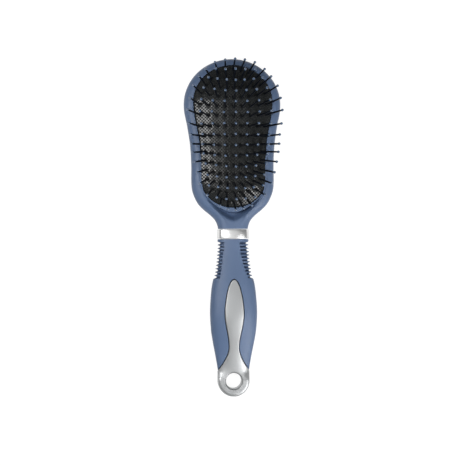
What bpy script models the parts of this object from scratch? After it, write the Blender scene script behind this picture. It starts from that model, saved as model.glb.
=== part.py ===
"""Cushion hair brush, lying on its back with its pins up.

The head is a moulded shell with a dovetail pocket. A domed rubber pad is snapped into the
pocket and carries fifteen rows of ball-tipped pins over a pocket of air. A tang on the head
runs through a metal ferrule into the handle's rigid core. A soft grip with finger ribs covers
the core, and an eye cap with a long tongue closes the handle and lets the brush hang.

Frame: metres, +Z up out of the pad, +Y towards the top of the head, origin on the flat of the
head's back, under the middle of the pad.
"""

import math

import bmesh
import bpy
from mathutils import Vector
from mathutils.geometry import delaunay_2d_cdt

mm = 0.001

# Fits that all pieces share.
gap = 0.3 * mm
overrun = 2.0 * mm
weld = 0.02 * mm

# Rubber pad, seen from above: a wide round lobe, a waist and a narrower round lobe.
pad_half_length = 48.65 * mm
pad_top_half_width = 27.0 * mm
pad_top_reach = 25.0 * mm
pad_waist_run = 34.0 * mm
pad_low_width_share = 0.8333
pad_low_reach = 20.0 * mm
pad_crown = 6.4 * mm
pad_dome_power = 0.85
pad_thickness = 1.3 * mm
pad_sink = 0.3 * mm
bead_reach = 1.2 * mm
bead_height = 0.9 * mm
pad_lip = 1.1 * mm
vent_radius = 0.6 * mm

# Head shell, with its outline from the ferrule up to the widest line as shares of that run
# and of the step in half-width between them.
head_depth = 14.0 * mm
head_side_rim = 6.5 * mm
head_round_reach = 31.6 * mm
head_top_rim = 5.2 * mm
throat_length = 14.9 * mm
neck_half_width = 10.35 * mm
neck_front = 14.2 * mm
neck_back = 0.9 * mm
edge_round = 7.0 * mm
back_round = 14.0 * mm
back_wall = 3.0 * mm
ledge_width = 1.5 * mm
head_outline_shares = (
    (0.0, 0.0),
    (0.031, 0.022),
    (0.072, 0.093),
    (0.113, 0.24),
    (0.153, 0.42),
    (0.193, 0.565),
    (0.234, 0.66),
    (0.30, 0.755),
    (0.37, 0.787),
    (0.52, 0.787),
    (0.677, 0.82),
    (0.839, 0.91),
    (0.93, 0.98),
    (1.0, 1.0),
)
head_station_shares = (
    0.0, 0.03, 0.06, 0.09, 0.12, 0.15, 0.18, 0.21, 0.25, 0.30, 0.36, 0.44, 0.52, 0.60, 0.68,
    0.76, 0.84, 0.92, 1.0,
)
# Edge of the head: inset as a share of the round, height as a share of the local depth.
head_back_shares = (
    (1.0, 0.0),
    (0.66, 0.02),
    (0.36, 0.09),
    (0.12, 0.24),
    (0.0, 0.47),
)
head_front_shares = (
    (0.06, 0.70),
    (0.22, 0.86),
    (0.50, 0.955),
    (0.88, 1.0),
)

# Scooped throat between the pad's lip and the neck.
scoop_side_margin = 2.0 * mm
scoop_reach = 16.5 * mm
scoop_depth = 5.2 * mm
scoop_foot = 5.5 * mm
lip_width = 1.3 * mm
lip_drop = 2.1 * mm

# Pins: rows from the top of the head down. The bow of a row is a share of the pitch, its reach
# to each side a share of the pad's half-width there.
row_counts = (5, 7, 9, 9, 9, 9, 9, 9, 9, 9, 9, 9, 9, 7, 5)
row_bow_shares = (
    -0.32, 0.05, 0.37, 0.50, 0.36, 0.26, 0.0, 0.0, 0.14, 0.36, 0.46, 0.46, 0.45, 0.38, 0.42,
)
row_reach_shares = (
    0.61, 0.71, 0.77, 0.835, 0.855, 0.87, 0.87, 0.862, 0.862, 0.86, 0.85, 0.835, 0.81, 0.72,
    0.52,
)
row_end_margin = 3.4 * mm
pin_height = 18.0 * mm
pin_base_radius = 0.8 * mm
pin_neck_radius = 0.52 * mm
pin_ball_radius = 1.0 * mm
pin_ball_length = 1.45 * mm
# Lean of the pins: sideways at the pad's widest line, along places that are shares of the pad's
# half-length, and lengthwise at its ends. Both are shares of a pin's height.
side_lean_shares = (
    (-1.0, 0.42),
    (-0.63, 0.51),
    (-0.40, 0.60),
    (-0.14, 0.725),
    (0.10, 0.645),
    (0.33, 0.55),
    (0.55, 0.44),
    (1.0, 0.50),
)
end_lean_share = 0.353
strip_half_width = 1.0 * mm
strip_thickness = 0.9 * mm

# Ferrule.
ferrule_length = 6.4 * mm
ferrule_proud = 0.65 * mm
ferrule_flare = 0.15 * mm
ferrule_edge = 0.35 * mm

# Handle, from the ferrule down to the eye cap. Widths are shares of the step between its
# widest line and the end of each stretch.
grip_upper_run = 50.5 * mm
grip_lower_run = 40.3 * mm
grip_half_width = 16.3 * mm
grip_front = 17.4 * mm
grip_back = 0.4 * mm
grip_wall = 2.5 * mm
socket_wall = 1.2 * mm
tang_length = 26.0 * mm
plug_length = 10.0 * mm
grip_upper_shares = (
    (0.0, 0.0),
    (0.218, 0.14),
    (0.356, 0.263),
    (0.495, 0.456),
    (0.56, 0.60),
    (0.63, 0.74),
    (0.766, 0.885),
    (1.0, 1.0),
)
grip_lower_shares = (
    (0.0, 1.0),
    (0.308, 0.875),
    (0.479, 0.68),
    (0.653, 0.43),
    (0.824, 0.19),
    (1.0, 0.0),
)

# Finger ribs: the slots between them run in from both sides onto the front and back.
rib_count = 11
rib_pitch = 2.34 * mm
rib_start = 2.9 * mm
slot_half_width = 0.52 * mm
slot_mouth_half_width = 0.98 * mm
slot_depth = 1.95 * mm
slot_inner_top = 4.1 * mm
slot_inner_low = 10.8 * mm
slot_sweep_power = 1.7

# Eye cap and its tongue, which lies in a window in the front of the grip.
eye_radius = 11.0 * mm
eye_depth = 9.8 * mm
eye_set = 7.0 * mm
eye_hole_radius = 5.45 * mm
eye_hole_mouth_radius = 6.3 * mm
eye_mouth_depth = 1.0 * mm
eye_edge = 1.6 * mm
tongue_proud = 0.45 * mm
tongue_groove = 0.55 * mm
tongue_flare_run = 16.1 * mm
tongue_waist_half = 3.3 * mm
tongue_belly_run = 24.6 * mm
tongue_belly_half = 6.4 * mm
tongue_tip_run = 22.6 * mm

# Roundness of the cross-sections: 2 is an ellipse, more is squarer. The tongue's flare and tip
# are powers of the share of their run.
neck_power = 2.5
grip_power = 2.4
flare_power = 1.7
tip_power = 1.5

# Facets: sides of each ring, and stations along each form.
pin_sides = 3
vent_sides = 6
pad_lobe_stations = 8
pad_side_stations = 4
head_top_stations = 12
scoop_sides = 32
scoop_stations = 14
grip_sides = 28
grip_stations = 24
bore_stations = 16
core_sides = 24
core_stations = 14
plug_stations = 5
tongue_stations = 16
tongue_tip_stations = 12
tang_sides = 20
ferrule_sides = 40
eye_stations = 13
eye_edge_stations = 4
hole_sides = 32
smooth_angle = math.radians(35)

# Places along the brush, worked out from the sizes above.
pad_low_half_width = pad_low_width_share * pad_top_half_width
pad_top_lobe_y = pad_half_length - pad_top_reach
pad_low_lobe_y = pad_low_reach - pad_half_length
head_half_width = pad_top_half_width + head_side_rim
head_top_y = pad_half_length + head_top_rim
head_lobe_y = head_top_y - head_round_reach
neck_y = -(pad_half_length + throat_length)
scoop_half_width = pad_low_half_width - scoop_side_margin
row_pitch = 2 * (pad_half_length - row_end_margin) / (len(row_counts) - 1)
ferrule_top_y = neck_y - gap
ferrule_low_y = ferrule_top_y - ferrule_length
grip_top_y = ferrule_low_y - gap
belly_y = grip_top_y - grip_upper_run
grip_low_y = belly_y - grip_lower_run
shoulder_y = grip_low_y - gap
eye_y = shoulder_y - eye_set
core_low_y = shoulder_y + plug_length + gap
tongue_round_y = shoulder_y + tongue_flare_run + tongue_belly_run
tongue_top_y = tongue_round_y + tongue_tip_run
grip_top_half_width = neck_half_width + ferrule_proud / 2
pad_edge_z = head_depth - pad_sink
lip_low_z = head_depth - pad_lip
bead_low_z = lip_low_z - gap - bead_height
ledge_z = bead_low_z - gap
cap_split_z = eye_depth / 2

blue = ("soft_touch_blue", (0.14, 0.20, 0.36, 1.0), 0.0, 0.55)
black_rubber = ("pad_rubber", (0.014, 0.018, 0.018, 1.0), 0.0, 0.45)
pin_nylon = ("pin_nylon", (0.004, 0.012, 0.028, 1.0), 0.0, 0.25)
satin_silver = ("satin_silver", (0.72, 0.73, 0.73, 1.0), 1.0, 0.22)
silvered_plastic = ("silvered_plastic", (0.70, 0.71, 0.72, 1.0), 1.0, 0.32)
core_plastic = ("core_plastic", (0.02, 0.035, 0.07, 1.0), 0.0, 0.5)


def new_collection(name):
    collection = bpy.data.collections.new(name)
    bpy.context.scene.collection.children.link(collection)
    return collection


def clear_scene():
    for old in list(bpy.data.objects):
        bpy.data.objects.remove(old, do_unlink=True)


clear_scene()
parts = new_collection("cushion_hair_brush")
cutters = new_collection("cutters")


def material(finish):
    """A Principled material with the given name, colour, metallic value and roughness."""
    name, colour, metallic, roughness = finish
    made = bpy.data.materials.get(name) or bpy.data.materials.new(name)
    made.use_nodes = True
    shader = made.node_tree.nodes["Principled BSDF"]
    shader.inputs["Base Color"].default_value = colour
    shader.inputs["Metallic"].default_value = metallic
    shader.inputs["Roughness"].default_value = roughness
    made.diffuse_color = colour
    return made


def as_part(obj, name, finish):
    """Name a finished piece, give it its material and shade its round faces smooth."""
    obj.name = name
    obj.data.name = name
    parts.objects.link(obj)
    obj.data.materials.clear()
    obj.data.materials.append(material(finish))
    obj.data.shade_smooth()
    obj.data.set_sharp_from_angle(angle=smooth_angle)
    return obj


def as_cutter(obj, name):
    obj.name = name
    cutters.objects.link(obj)
    obj.hide_render = True
    obj.display_type = "WIRE"
    return obj


def cut(obj, cutter, operation="DIFFERENCE"):
    """Add an exact Boolean to a piece."""
    step = obj.modifiers.new(cutter.name, "BOOLEAN")
    step.operation = operation
    step.solver = "EXACT"
    step.object = cutter
    return step


def smooth_through(pairs, place):
    """Value at a place on a smooth curve through (place, value) pairs, level at both ends."""
    last = len(pairs) - 1

    def slope(i):
        if i in (0, last):
            return 0.0
        return (pairs[i + 1][1] - pairs[i - 1][1]) / (pairs[i + 1][0] - pairs[i - 1][0])

    i = 0
    while i < last - 1 and place > pairs[i + 1][0]:
        i += 1
    (t0, v0), (t1, v1) = pairs[i], pairs[i + 1]
    run = t1 - t0
    t = min(max((place - t0) / run, 0.0), 1.0)
    rise = (1 + 2 * t) * (1 - t) ** 2 * v0 + t * t * (3 - 2 * t) * v1
    return rise + run * t * (1 - t) * ((1 - t) * slope(i) - t * slope(i + 1))


def ease(share):
    """Half a cosine wave from 0 to 1."""
    share = min(max(share, 0.0), 1.0)
    return (1 - math.cos(math.pi * share)) / 2


def between(low, high, share):
    return low + (high - low) * share


def round_end(y, centre, reach):
    """Share of the full half-width left at y on an elliptic end."""
    share = min(abs(y - centre) / reach, 1.0)
    return math.sqrt(1 - share * share)


def pad_half_width(y):
    """Half-width of the pad's outline."""
    if y >= pad_top_lobe_y:
        return pad_top_half_width * round_end(y, pad_top_lobe_y, pad_top_reach)
    if y <= pad_low_lobe_y:
        return pad_low_half_width * round_end(y, pad_low_lobe_y, pad_low_reach)
    share = ease((pad_top_lobe_y - y) / pad_waist_run)
    return between(pad_top_half_width, pad_low_half_width, share)


def head_half_width_at(y):
    """Half-width of the head's outline, from the ferrule up to the top."""
    if y >= head_lobe_y:
        return head_half_width * round_end(y, head_lobe_y, head_round_reach)
    share = (y - neck_y) / (head_lobe_y - neck_y)
    step = smooth_through(head_outline_shares, share)
    return between(neck_half_width, head_half_width, step)


def handle_half_width(y):
    """Half-width of the grip, from the ferrule down to the eye cap."""
    if y >= belly_y:
        share = smooth_through(grip_upper_shares, (grip_top_y - y) / grip_upper_run)
        return between(grip_top_half_width, grip_half_width, share)
    share = smooth_through(grip_lower_shares, (belly_y - y) / grip_lower_run)
    return between(eye_radius, grip_half_width, share)


def handle_front(y):
    if y >= belly_y:
        return between(neck_front, grip_front, ease((grip_top_y - y) / grip_upper_run))
    return between(grip_front, eye_depth - tongue_proud, ease((belly_y - y) / grip_lower_run))


def handle_back(y):
    return between(neck_back, grip_back, ease((grip_top_y - y) / grip_upper_run))


def tongue_half_width(y):
    """Half-width of the eye cap's tongue: flared at the cap, narrow, wide, then a leaf's tip."""
    place = y - shoulder_y
    if place <= tongue_flare_run:
        share = (1 - max(place, 0.0) / tongue_flare_run) ** flare_power
        return between(tongue_waist_half, eye_radius, share)
    place -= tongue_flare_run
    if place <= tongue_belly_run:
        return between(tongue_waist_half, tongue_belly_half, ease(place / tongue_belly_run))
    share = min((place - tongue_belly_run) / tongue_tip_run, 1.0)
    return tongue_belly_half * math.sqrt(1 - share ** tip_power)


def pad_dome(x, y):
    """Height of the pad's top over its edge, highest on the wide lobe."""
    room = max(pad_half_width(y) ** 2 - x * x, 0.0) / pad_top_half_width ** 2
    return pad_crown * room ** pad_dome_power


def lean_at(x, y):
    """Sideways run of a pin over its height: the pins stand square to the dome."""
    side_lean = smooth_through(side_lean_shares, y / pad_half_length)
    run_x = pin_height * side_lean * x / pad_top_half_width
    run_y = pin_height * end_lean_share * y / pad_half_length
    return run_x, run_y


def spaced(low, high, count):
    """Evenly spaced values that include both ends."""
    return [between(low, high, i / (count - 1)) for i in range(count)]


def round_spaced(low, high, count):
    """Values that crowd towards high, for stations on a round end."""
    return [between(low, high, math.sin(math.pi / 2 * i / (count - 1))) for i in range(count)]


def rounded_plate(outline, low, high, radius):
    """A plate with its edges rounded towards both faces."""
    lower, upper = [], []
    for angle in spaced(0.0, math.pi / 2, eye_edge_stations):
        inset, rise = radius * (1 - math.sin(angle)), radius * (1 - math.cos(angle))
        drawn_in = outset(outline, -inset)
        lower.append([(x, y, low + rise) for x, y in drawn_in])
        upper.append([(x, y, high - rise) for x, y in drawn_in])
    return loft(lower + upper[::-1])


def mirrored(half):
    """A closed outline from its right half, which runs from its low end to its top."""
    left = [(-x, y) for x, y in reversed(half) if x > gap]
    return list(half) + left


def outset(outline, reach):
    """An outline moved outwards along its normals."""
    moved = []
    count = len(outline)
    for i, (x, y) in enumerate(outline):
        x0, y0 = outline[i - 1]
        x1, y1 = outline[(i + 1) % count]
        dx, dy = x1 - x0, y1 - y0
        length = math.hypot(dx, dy)
        moved.append((x + reach * dy / length, y - reach * dx / length))
    return moved


def plate(outlines, low, high):
    """A flat plate between two heights. Outlines inside the first are holes in it."""
    curve = bpy.data.curves.new("plate", "CURVE")
    curve.dimensions = "2D"
    curve.fill_mode = "BOTH"
    curve.extrude = (high - low) / 2
    for outline in outlines:
        spline = curve.splines.new("POLY")
        spline.points.add(len(outline) - 1)
        for point, (x, y) in zip(spline.points, outline):
            point.co = (x, y, 0.0, 1.0)
        spline.use_cyclic_u = True
    drawn = bpy.data.objects.new("plate", curve)
    bpy.context.scene.collection.objects.link(drawn)
    drawn.location.z = (low + high) / 2
    bpy.context.view_layer.update()
    mesh = bpy.data.meshes.new_from_object(drawn.evaluated_get(bpy.context.evaluated_depsgraph_get()))
    mesh.transform(drawn.matrix_world)
    bpy.data.objects.remove(drawn, do_unlink=True)
    bm = bmesh.new()
    bm.from_mesh(mesh)
    bmesh.ops.remove_doubles(bm, verts=bm.verts, dist=weld)
    bmesh.ops.recalc_face_normals(bm, faces=bm.faces)
    bm.to_mesh(mesh)
    bm.free()
    return bpy.data.objects.new("plate", mesh)


def add_loft(bm, rings):
    """Skin a run of equal rings and close both its ends."""
    made = [[bm.verts.new(point) for point in ring] for ring in rings]
    for ring, above in zip(made, made[1:]):
        for i in range(len(ring)):
            j = (i + 1) % len(ring)
            bm.faces.new((ring[i], ring[j], above[j], above[i]))
    bm.faces.new(reversed(made[0]))
    bm.faces.new(made[-1])


def from_bmesh(bm):
    bmesh.ops.recalc_face_normals(bm, faces=bm.faces)
    mesh = bpy.data.meshes.new("piece")
    bm.to_mesh(mesh)
    bm.free()
    return bpy.data.objects.new("piece", mesh)


def loft(rings):
    bm = bmesh.new()
    add_loft(bm, rings)
    return from_bmesh(bm)


def oval(y, half_width, low, high, power, sides):
    """A rounded cross-section of a handle in the plane at y."""
    ring = []
    for i in range(sides):
        angle = 2 * math.pi * (i + 0.5) / sides
        across, up = math.cos(angle), math.sin(angle)
        x = half_width * math.copysign(abs(across) ** (2 / power), across)
        z = (high - low) / 2 * math.copysign(abs(up) ** (2 / power), up)
        ring.append((x, y, (low + high) / 2 + z))
    return ring


def handle_loft(low_y, high_y, grow, stations=grip_stations, sides=grip_sides):
    """The handle's form between two places, grown or shrunk all round."""
    rings = []
    for y in spaced(low_y, high_y, stations):
        inside = min(max(y, grip_low_y), grip_top_y)
        half_width = handle_half_width(inside) + grow
        low, high = handle_back(inside) - grow, handle_front(inside) + grow
        rings.append(oval(y, half_width, low, high, grip_power, sides))
    return loft(rings)


def pad_outline():
    """Closed outline of the pad."""
    low = round_spaced(pad_low_lobe_y, -pad_half_length, pad_lobe_stations)[::-1]
    side = spaced(pad_low_lobe_y, pad_top_lobe_y, pad_side_stations)[1:-1]
    top = round_spaced(pad_top_lobe_y, pad_half_length, pad_lobe_stations)
    return mirrored([(pad_half_width(y), y) for y in low + side + top])


def head_chain():
    """Right half of the head's outline, with its outward normals, from the neck to the top."""
    sides = [between(neck_y, head_lobe_y, share) for share in head_station_shares]
    ends = round_spaced(head_lobe_y, head_top_y, head_top_stations)[1:]
    half = [(head_half_width_at(y), y) for y in sides + ends]
    chain = []
    for i, (x, y) in enumerate(half):
        if i == 0:
            chain.append((x, y, 1.0, 0.0))
            continue
        x1, y1 = half[i + 1] if i + 1 < len(half) else (-half[i - 1][0], half[i - 1][1])
        dx, dy = x1 - half[i - 1][0], y1 - half[i - 1][1]
        length = math.hypot(dx, dy)
        chain.append((x, y, dy / length, -dx / length))
    return chain


def head_form():
    """The outer form of the head: its outline drawn in towards the back and the front."""
    chain = head_chain()
    bm = bmesh.new()
    rings = []
    for inset_share, height_share in head_back_shares + head_front_shares:
        right = []
        for x, y, normal_x, normal_y in chain:
            nearness = ease(1 - (y - neck_y) / throat_length)
            inset = inset_share * edge_round
            if (inset_share, height_share) in head_back_shares:
                inset = inset_share * between(back_round, edge_round, ease(2 * nearness))
            low = between(0.0, neck_back, nearness)
            high = between(head_depth, neck_front, nearness)
            place = (x - inset * normal_x, y - inset * normal_y, between(low, high, height_share))
            right.append(place)
        left = [(-x, y, z) for x, y, z in reversed(right[:-1])]
        rings.append([bm.verts.new(place) for place in right + left])
    for ring, above in zip(rings, rings[1:]):
        for a, b, c, d in zip(ring, ring[1:], above[1:], above):
            bm.faces.new((a, b, c, d))
    bm.faces.new(reversed(rings[0]))
    bm.faces.new(rings[-1])
    bm.faces.new([ring[0] for ring in rings] + [ring[-1] for ring in reversed(rings)])
    bmesh.ops.triangulate(bm, faces=[f for f in bm.faces if len(f.verts) > 4])
    return from_bmesh(bm)


def tang_form(grow, low_y, high_y):
    """The tang that joins head to handle, grown for its clearance in what it passes."""
    inset = grip_wall + gap + socket_wall + gap
    half_width = grip_top_half_width - inset + grow
    low, high = neck_back + inset - grow, neck_front - inset + grow
    return loft([oval(y, half_width, low, high, grip_power, tang_sides) for y in (low_y, high_y)])


def make_head_shell():
    shell = head_form()
    outline = pad_outline()
    mouth = plate([outset(outline, gap)], back_wall, head_depth + overrun)
    cut(shell, as_cutter(mouth, "pad_mouth"))
    groove = plate([outset(outline, bead_reach + gap)], ledge_z, lip_low_z)
    cut(shell, as_cutter(groove, "bead_groove"))
    pocket = plate([outset(outline, -ledge_width)], back_wall, head_depth)
    cut(shell, as_cutter(pocket, "air_pocket"))
    cut(shell, make_scoop())
    tang = tang_form(0.0, grip_top_y - tang_length, neck_y + overrun)
    cut(shell, as_cutter(tang, "tang_form"), "UNION")
    as_part(shell, "head_shell", blue)


def make_scoop():
    """The hollow below the pad: a round dish that stops at the pad's raised lip."""
    bm = bmesh.new()
    bmesh.ops.create_uvsphere(bm, u_segments=scoop_sides, v_segments=scoop_stations, radius=1.0)
    bmesh.ops.scale(bm, verts=bm.verts, vec=(scoop_half_width, scoop_reach, scoop_depth))
    centre = (0.0, neck_y + scoop_foot + scoop_reach, head_depth)
    bmesh.ops.translate(bm, verts=bm.verts, vec=centre)
    dish = from_bmesh(bm)
    lip = [(x, y - lip_drop) for x, y in outset(pad_outline(), lip_width)]
    lip_block = plate([lip], back_wall, head_depth + scoop_depth + overrun)
    cut(dish, as_cutter(lip_block, "lip_block"))
    return as_cutter(dish, "throat_scoop")


def pin_places():
    """Base of every pin on the pad's top, row by row from the top of the head."""
    rows = []
    tables = zip(row_counts, row_bow_shares, row_reach_shares)
    for k, (count, bow_share, reach_share) in enumerate(tables):
        y = row_pitch * ((len(row_counts) - 1) / 2 - k)
        end_y = y + bow_share * row_pitch
        reach = reach_share * pad_half_width(end_y)
        row = []
        for share in spaced(-1.0, 1.0, count):
            row.append((reach * share, between(y, end_y, share * share)))
        rows.append(row)
    return rows


def round_points(x, y, radius, sides, start=0.0):
    """Corners of an even-sided shape round a place."""
    angles = [start + 2 * math.pi * i / sides for i in range(sides)]
    return [(x + radius * math.cos(angle), y + radius * math.sin(angle)) for angle in angles]


def pin_section(x, y, radius):
    """Section of a pin, with one corner towards the top of the head."""
    return round_points(x, y, radius, pin_sides, math.pi / 2)


def make_air_cushion():
    """The rubber pad: a pierced sheet raised to its dome, with a bead under the head's lip."""
    outline = pad_outline()
    hole_radius = pin_base_radius + gap / math.cos(math.pi / pin_sides)
    holes = [pin_section(x, y, hole_radius) for row in pin_places() for x, y in row]
    vent = round_points(0.0, -row_pitch / 2, vent_radius, vent_sides)
    bm = pierced_sheet([outline, vent] + holes, pad_thickness)
    rim = [v for v in bm.verts if pad_dome(v.co.x, v.co.y) < weld]
    for vert in bm.verts:
        x, y, z = vert.co
        height = pad_edge_z + pad_dome(x, y)
        if z > pad_thickness / 2:
            vert.co.z = height
            continue
        run_x, run_y = lean_at(x, y)
        drop = pad_thickness / pin_height
        vert.co = (x - run_x * drop, y - run_y * drop, height - pad_thickness)
    add_bead(bm, rim, outline)
    as_part(from_bmesh(bm), "air_cushion", black_rubber)


def pierced_sheet(outlines, thickness):
    """An even sheet of triangles inside the first outline and outside all the others."""
    points = [Vector(point) for outline in outlines for point in outline]
    loops = []
    start = 0
    for outline in outlines:
        loops.append(list(range(start, start + len(outline))))
        start += len(outline)
    holes_left_out = 2
    places, _, triangles = delaunay_2d_cdt(points, [], loops, holes_left_out, weld)[:3]
    bm = bmesh.new()
    verts = [bm.verts.new((x, y, 0.0)) for x, y in places]
    for triangle in triangles:
        bm.faces.new([verts[i] for i in triangle])
    copied = bmesh.ops.extrude_face_region(bm, geom=list(bm.faces))["geom"]
    raised = [item for item in copied if isinstance(item, bmesh.types.BMVert)]
    bmesh.ops.translate(bm, verts=raised, vec=(0.0, 0.0, thickness))
    return bm


def add_bead(bm, rim, outline):
    """Turn the sheet's edge down the head's mouth and out under its lip."""
    wall = [f for f in bm.faces if all(v in rim for v in f.verts)]
    bmesh.ops.delete(bm, geom=wall, context="FACES_ONLY")
    top = ordered_rim(rim, outline, True)
    low = ordered_rim(rim, outline, False)
    for vert, (x, y) in zip(low, outline):
        vert.co = (x, y, bead_low_z)
    neck = [bm.verts.new((x, y, bead_low_z + bead_height)) for x, y in outline]
    bead = [bm.verts.new((x, y, bead_low_z + bead_height / 2)) for x, y in outset(outline, bead_reach)]
    for ring, below in ((top, neck), (neck, bead), (bead, low)):
        for i in range(len(ring)):
            j = (i + 1) % len(ring)
            bm.faces.new((ring[i], below[i], below[j], ring[j]))


def ordered_rim(rim, outline, on_top):
    """The sheet's edge points in the outline's order, from its top or its underside."""
    mid = pad_edge_z - pad_thickness / 2
    side = [v for v in rim if (v.co.z > mid) == on_top]
    ordered = []
    for x, y in outline:
        ordered.append(min(side, key=lambda v: math.hypot(v.co.x - x, v.co.y - y)))
    return ordered


def make_pin(bm, x, y):
    """One pin: a tapered shaft that leans out, with a faceted ball on its tip."""
    run_x, run_y = lean_at(x, y)
    base_z = pad_edge_z + pad_dome(x, y)
    foot = -(pad_thickness + gap + strip_thickness / 2)
    ball = pin_height - pin_ball_length / 2
    levels = (
        (foot, pin_base_radius),
        (pin_height - pin_ball_length, pin_neck_radius),
        (ball, pin_ball_radius),
        (pin_height, pin_neck_radius),
    )
    rings = []
    for height, radius in levels:
        share = height / pin_height
        ring = pin_section(x + run_x * share, y + run_y * share, radius)
        rings.append([(px, py, base_z + height) for px, py in ring])
    add_loft(bm, rings)


def make_pin_row(number, row):
    """A row of pins on one strip of their backing, close under the pad."""
    bm = bmesh.new()
    for x, y in row:
        make_pin(bm, x, y)
    pins = as_cutter(from_bmesh(bm), f"pins_{number:02d}")
    ends = [(row[0][0] - strip_half_width, row[0][1]), (row[-1][0] + strip_half_width, row[-1][1])]
    middles = [((x0 + x1) / 2, (y0 + y1) / 2) for (x0, y0), (x1, y1) in zip(row, row[1:])]
    drop = (pad_thickness + gap) / pin_height
    rings = []
    for x, y in [ends[0]] + middles + [ends[1]]:
        run_x, run_y = lean_at(x, y)
        cx, cy = x - run_x * drop, y - run_y * drop
        corners = []
        for side in (-strip_half_width, strip_half_width):
            top = pad_edge_z + pad_dome(x, y + side) - pad_thickness - 2 * gap
            corners.append((cx, cy + side, top))
        low = [(px, py, pz - strip_thickness) for px, py, pz in reversed(corners)]
        rings.append(corners + low)
    strip = loft(rings)
    cut(strip, pins, "UNION")
    as_part(strip, f"pin_row_{number:02d}", pin_nylon)


def make_ferrule():
    """Metal ring over the tang, a little wider towards the handle, with eased edges."""
    rings = []
    stations = (
        (ferrule_low_y, ferrule_flare - ferrule_edge),
        (ferrule_low_y + ferrule_edge, ferrule_flare),
        (ferrule_top_y - ferrule_edge, 0.0),
        (ferrule_top_y, -ferrule_edge),
    )
    for y, grow in stations:
        proud = ferrule_proud + grow
        half_width = neck_half_width + proud
        low, high = neck_back - proud, neck_front + proud
        rings.append(oval(y, half_width, low, high, neck_power, ferrule_sides))
    ring = loft(rings)
    bore = tang_form(gap, ferrule_low_y - overrun, ferrule_top_y + overrun)
    cut(ring, as_cutter(bore, "ferrule_bore"))
    as_part(ring, "ferrule", satin_silver)


def make_handle_core():
    """Rigid core of the handle, with the socket for the tang."""
    core = handle_loft(core_low_y, grip_top_y, -(grip_wall + gap), core_stations, core_sides)
    socket = tang_form(gap, grip_top_y - tang_length - gap, grip_top_y + overrun)
    cut(core, as_cutter(socket, "tang_socket"))
    as_part(core, "handle_core", core_plastic)


def tongue_outline(grow, low_y):
    """Outline of the tongue from a low station up to its round tip."""
    sides = spaced(shoulder_y, tongue_round_y, tongue_stations)
    tip = round_spaced(tongue_round_y, tongue_top_y, tongue_tip_stations)[1:]
    half = [(tongue_half_width(y), y) for y in sides + tip]
    outline = outset(mirrored(half), grow)
    count = len(half)
    left = [(-x, y) for x, y in reversed(outline[1:count - 1])]
    foot_half = eye_radius + grow
    return [(foot_half, low_y)] + outline[1:count] + left + [(-foot_half, low_y)]


def make_grip():
    """Soft grip: a tube over the core with finger ribs and a window for the tongue."""
    grip = handle_loft(grip_low_y, grip_top_y, 0.0)
    bore = handle_loft(grip_low_y - overrun, grip_top_y + overrun, -grip_wall, bore_stations)
    cut(grip, as_cutter(bore, "grip_bore"))
    outline = tongue_outline(tongue_groove, grip_low_y - overrun)
    window = plate([outline], cap_split_z - gap, grip_front + overrun)
    cut(grip, as_cutter(window, "tongue_window"))
    cut(grip, make_slots())
    as_part(grip, "grip", blue)


def make_slots():
    """The slots between the finger ribs: wide at the sides and shallow on the faces."""
    wedges = []
    for k in range(rib_count):
        y = grip_top_y - rib_start - k * rib_pitch
        outer = handle_half_width(y)
        root = outer - slot_depth
        share = (k / (rib_count - 1)) ** slot_sweep_power
        inner = min(between(slot_inner_top, slot_inner_low, share), root - slot_half_width)
        wedge = [
            (inner, y - slot_half_width),
            (root, y - slot_half_width),
            (outer + slot_depth, y - 2 * slot_mouth_half_width + slot_half_width),
            (outer + slot_depth, y + 2 * slot_mouth_half_width - slot_half_width),
            (root, y + slot_half_width),
            (inner, y + slot_half_width),
        ]
        wedges.append(wedge)
        wedges.append([(-x, py) for x, py in reversed(wedge)])
    slots = plate(wedges, -overrun, grip_front + overrun)
    kept = handle_loft(grip_low_y, grip_top_y + overrun, -slot_depth)
    cut(slots, as_cutter(kept, "slot_floor"))
    return as_cutter(slots, "rib_slots")


def make_eye_cap():
    """Eye cap: a round eye, a plug into the grip and the tongue along its front."""
    half = []
    for angle in spaced(0.0, math.pi / 2, eye_stations):
        half.append((eye_radius * math.sin(angle), eye_y - eye_radius * math.cos(angle)))
    half.append((eye_radius, (eye_y + shoulder_y) / 2))
    half.append((eye_radius, shoulder_y))
    cap = rounded_plate(mirrored(half), 0.0, eye_depth, eye_edge)
    tongue = plate([tongue_outline(0.0, shoulder_y - eye_edge)], cap_split_z, grip_front + overrun)
    form = handle_loft(shoulder_y - overrun, tongue_top_y + overrun, tongue_proud)
    cut(tongue, as_cutter(form, "tongue_form"), "INTERSECT")
    under = handle_loft(core_low_y - gap, tongue_top_y + overrun, -grip_wall, bore_stations)
    cut(tongue, as_cutter(under, "tongue_underside"))
    plug = handle_loft(shoulder_y - overrun, shoulder_y + plug_length, -(grip_wall + gap), plug_stations)
    cut(cap, as_cutter(plug, "plug_form"), "UNION")
    cut(cap, as_cutter(tongue, "tongue_body"), "UNION")
    cut(cap, make_eye_hole())
    as_part(cap, "eye_cap", silvered_plastic)


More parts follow.
